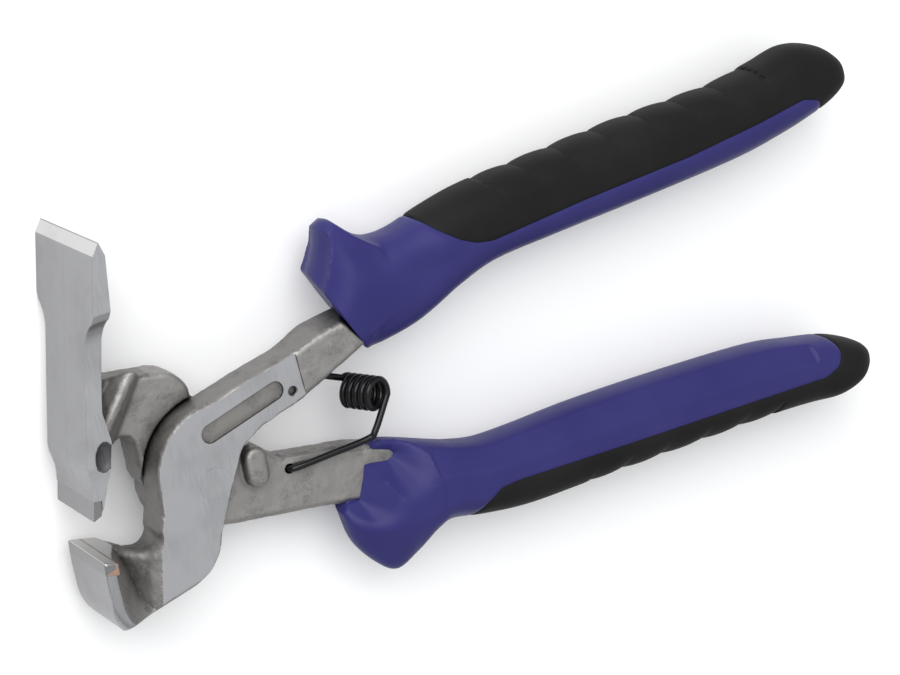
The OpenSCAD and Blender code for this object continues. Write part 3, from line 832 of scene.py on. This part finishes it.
LOWER_STATIONS = [
    (30.8, -20.6, 40.8, -7.6, 0.9), (32.2, -28.2, 43.5, -7.0, 0.94), (36.8, -35.0, 46.5, -7.8, 0.96),
    (41.4, -38.4, 50.0, -9.2, 0.98), (46.4, -36.0, 54.0, -10.9, 1.0), (51.4, -32.2, 58.0, -12.6, 1.02),
    (56.0, -30.9, 62.0, -14.1, 1.02), (65.0, -33.0, 69.0, -15.8, 1.0), (77.0, -34.9, 79.0, -16.2, 1.0),
    (95.0, -35.6, 96.0, -16.2, 1.0), (120.0, -36.6, 121.0, -17.4, 1.0), (147.0, -37.6, 147.0, -19.5, 1.0),
    (159.0, -38.5, 160.0, -22.1, 1.0), (168.0, -39.6, 169.0, -24.3, 0.98),
    (174.6, -38.4, 175.0, -26.9, 0.84), (178.4, -35.8, 178.4, -29.2, 0.55),
    (180.0, -33.8, 180.0, -31.4, 0.2)
]
UPPER_ZONE = [
    (58, 62), (60, 42), (64.5, 37.6), (69, 34.2), (73, 32.1), (77.5, 31.2), (103, 33), (133, 34.3),
    (153, 36.3), (167, 38.2), (172, 36.5), (176, 28), (200, 28), (200, 62)
]
LOWER_ZONE = [
    (57, -50), (59, -33), (65.5, -27.8), (68.3, -26.2), (73.2, -26), (103, -28), (128, -29.5), (162, -31.5),
    (166.5, -30), (168.6, -26.7), (166, -18), (200, -18), (200, -50)
]
UPPER_NOTCHES = (79.5, 90.0, 101.0, 112.5, 124.0, 135.0, 146.0, 157.0)
LOWER_NOTCHES = (92.0, 102.5, 113.7, 125.7, 136.8, 147.8)


def grip_frame(stations, low, high):
    """Reader of the place along a grip and across it, +1 at its outer side and -1 at its inner side."""
    rows = curve(stations, 10)
    outer, inner = rows[:, :2], rows[:, 2:4]
    across = outer - inner
    width = np.linalg.norm(across, axis=1)
    normal = np.stack([across[:, 1], -across[:, 0]], 1) / width[:, None] * np.sign(across[0, 1])

    def along(x, y):
        shape = np.shape(x)
        p = np.stack([np.ravel(x), np.ravel(y)], 1)
        gap = p @ normal.T - (inner * normal).sum(1)
        k = np.clip((gap > 0).sum(1) - 1, 0, len(rows) - 2)
        here, after = np.take_along_axis(gap, np.stack([k, k + 1], 1), 1).T
        return (k + here / (here - after)).reshape(shape)

    read_s = plane_field(along, low, high, 0, 0.5)
    steps = np.arange(len(rows))

    def read(x, y):
        s = read_s(x, y)
        mid = [np.interp(s, steps, ((outer + inner) / 2)[:, i]) for i in (0, 1)]
        half = [np.interp(s, steps, (across / 2)[:, i]) for i in (0, 1)]
        wide = half[0] ** 2 + half[1] ** 2
        u = ((x - mid[0]) * half[0] + (y - mid[1]) * half[1]) / wide
        depth = GRIP_HALF * np.interp(s, steps, rows[:, 4])
        past = np.maximum(-s, s - (len(rows) - 1)) * 1.2
        return s / 10, u, np.sqrt(wide), depth, past
    return read


def notches(x, places):
    """Scalloped outer side: how deep it lies under the full section, deepest at each place."""
    t = np.interp(x, places, np.arange(len(places)), left=-0.5, right=len(places) - 0.5)
    dip = 1 - np.abs(np.sin(math.pi * t)) ** 0.6
    ends = step_up((x - places[0] + 4) / 4) * step_up((places[-1] + 4 - x) / 4)
    return dip * ends


def grip_field(read, sideways, places):
    """Full section of a grip, before it is split into core and cover."""
    def field(p):
        x, y, z = p.T
        s, u, wide, depth, past = read(x, y)
        v = z - MID_Z
        # The guard at the front narrows towards its tip
        depth = depth * (1 - 0.45 * step_up((u - 0.05) / 1.0) * step_up(1.3 - np.abs(s - 2.0) / 2.6))
        r = (np.abs(u) ** 2.5 + np.abs(v / depth) ** 2.5) ** 0.4
        body = np.maximum((r - 1) * np.minimum(wide, depth), past)
        body = body + 0.55 * notches(x - 5.0 * (1 - u), places) * step_up((u - 0.35) / 0.5)
        return sideways(p, s, u, v, depth, body)
    return field


UPPER_GUARD = [(33.6, 31.0), (36.9, 36.6), (38.8, 41.0), (39.3, 44.6), (41.4, 45.8), (44.5, 42.6),
               (50.0, 38.0), (52.0, 24.0), (44.0, 20.0), (40.4, 21.0)]
# The lower collar's edge over the arm, with a notch at its inner side
ARM_WINDOW = [(20.0, -18.7), (35.6, -19.0), (37.6, -14.7), (38.6, -11.2), (44.4, -12.4), (45.8, -12.0),
              (46.2, -11.2), (45.4, -10.2), (40.0, -7.9), (41.5, -5.0), (20.0, 0.0)]


def upper_shape(p, s, u, v, depth, body):
    """Guard with a flat front that meets its sides in an edge, and a dish for the thumb."""
    x, y, z = p.T
    high = 6.9 - 0.012 * np.maximum(y - 30.0, 0) ** 2
    guard = both(polygon_distance(x, y, UPPER_GUARD), (np.abs(v) - high) * 0.95, 0.35)
    body = either(body, guard, 1.6)
    body = both(body, -plane(p, (38.2, 24.5, 15.0), (0.878, 0.44, 0.19)), 0.6)
    dish = np.exp(-((x - 60.0) / 4.5) ** 2 - ((y - 29.5) / 4.0) ** 2)
    swell = np.exp(-((x - 65.5) / 4.5) ** 2 - ((y - 33.5) / 3.0) ** 2)
    return body + np.where(v > 0, 0.9 * dish - 0.5 * swell, 0)


def lower_shape(p, s, u, v, depth, body):
    """Slanted flat along the inner side, with a fine crease, and the opening for the arm."""
    x, y, z = p.T
    share = step_up((x - 48.0) / 6.0) * step_up((168.0 - x) / 8.0)
    roof = v - depth * (0.965 + 1.5 * (1 - share) - 0.81 * np.maximum(-u - 0.36, 0))
    body = both(body, roof, 0.15)
    crease = 0.12 * share * np.exp(-((u + 0.36) / 0.035) ** 2)
    body = body + np.where(v > 0, crease, 0)
    # The front edge steps back over the arm, wider the higher it is
    window = polygon_distance(x, y, ARM_WINDOW) - 1.1 * np.maximum(z - ARM_TOP, 0)
    window = both(window / 1.2, ARM_TOP - 0.4 - z, 0.2)
    return both(body, -window, 1.6)


def build_grip(side, stations, zone, places, shape, low, high, body):
    read = grip_frame(stations, low[:2], high[:2])
    full = grip_field(read, shape, places)
    in_zone = plane_field(lambda x, y: polygon_distance(x, y, zone), low[:2], high[:2], 8, 0.3)

    def grooved(p):
        edge = in_zone(p[:, 0], p[:, 1])
        outer = full(p)
        return outer + 0.22 * np.exp(-(edge / 0.45) ** 2), edge, COVER_T + outer

    def core(p):
        outer, edge, inner = grooved(p)
        return np.maximum(outer, np.minimum(0.02 - edge, inner))

    def cover(p):
        outer, edge, inner = grooved(p)
        return np.maximum(outer, np.maximum(edge + 0.02, -inner))

    for name, field, material, slot in (
            ("grip_core", core, BLUE, "blue_plastic"), ("grip_cover", cover, RUBBER, "black_rubber")):
        obj = field_mesh(side + "_" + name + "_shell", field, low, high, GRIP_STEP)
        obj.data.materials.append(material)
        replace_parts(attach(obj, body), side + "_" + name)


def build_grips():
    build_grip("upper", UPPER_STATIONS, UPPER_ZONE, UPPER_NOTCHES, upper_shape,
               (28, 12, -2.5), (186, 54, 17.5), "hook_side")
    build_grip("lower", LOWER_STATIONS, LOWER_ZONE, LOWER_NOTCHES, lower_shape,
               (26, -42, -2.5), (183, -4, 17.5), "blade_side")


FINE = 0.34
TIP_STEP = 0.16
GRIP_STEP = 0.5

build_hook_lever()
build_blade_lever()
build_tips()
build_spring()
build_grips()
for slot in bpy.data.objects["pivot_rivet"].material_slots:
    slot.material = FACE


# ---------------------------------------------------------------- Camera, floor and light

def build_camera():
    """A long lens, looking down on the tool from beyond the plate."""
    camera = bpy.data.cameras.new("camera")
    camera.lens = 112
    camera.sensor_width = 36
    obj = bpy.data.objects.new("camera", camera)
    obj.location = (-0.2121, 0.2205, 0.5378)
    obj.rotation_euler = [math.radians(a) for a in (-13.66, -30.73, -11.67)]
    bpy.context.scene.collection.objects.link(obj)
    bpy.context.scene.camera = obj


def build_floor():
    side = 3.0
    level = -7.6 * MM
    corners = [(-side, -side, level), (side, -side, level), (side, side, level), (-side, side, level)]
    floor = mesh_object("floor", corners, [(0, 1, 2, 3)])
    material, _, shader = new_material("pale_floor", Roughness=0.9, Specular_IOR_Level=0.1)
    shader.inputs["Base Color"].default_value = (0.93, 0.93, 0.93, 1)
    floor.data.materials.append(material)


def area_light(name, location, size, power):
    """Square light that faces the middle of the tool."""
    light = bpy.data.lights.new(name, "AREA")
    light.size = size
    light.energy = power
    obj = bpy.data.objects.new(name, light)
    obj.location = location
    x, y, z = np.array([0.06, 0.0, 0.0]) - np.array(location)
    obj.rotation_euler = (math.atan2(math.hypot(x, y), -z), 0, math.atan2(y, x) - math.pi / 2)
    bpy.context.scene.collection.objects.link(obj)


def build_light():
    """A white sky that is darker low down, and a soft key light."""
    world = bpy.data.worlds.new("studio")
    world.use_nodes = True
    tree = world.node_tree
    sky = tree.nodes["Background"]
    up = add_node(tree, "ShaderNodeSeparateXYZ", [
        ("Vector", add_node(tree, "ShaderNodeTexCoord").outputs["Generated"])]).outputs["Z"]
    tree.links.new(ramp(tree, up, 0.0, 0.75, ((0.34, 0.34, 0.35), (0.98, 0.99, 1.0))), sky.inputs["Color"])
    sky.inputs["Strength"].default_value = 0.87
    bpy.context.scene.world = world
    area_light("key", (-0.25, 0.62, 0.72), 0.9, 10.0)
    bpy.context.scene.view_settings.view_transform = "Standard"


build_camera()
build_floor()
build_light()
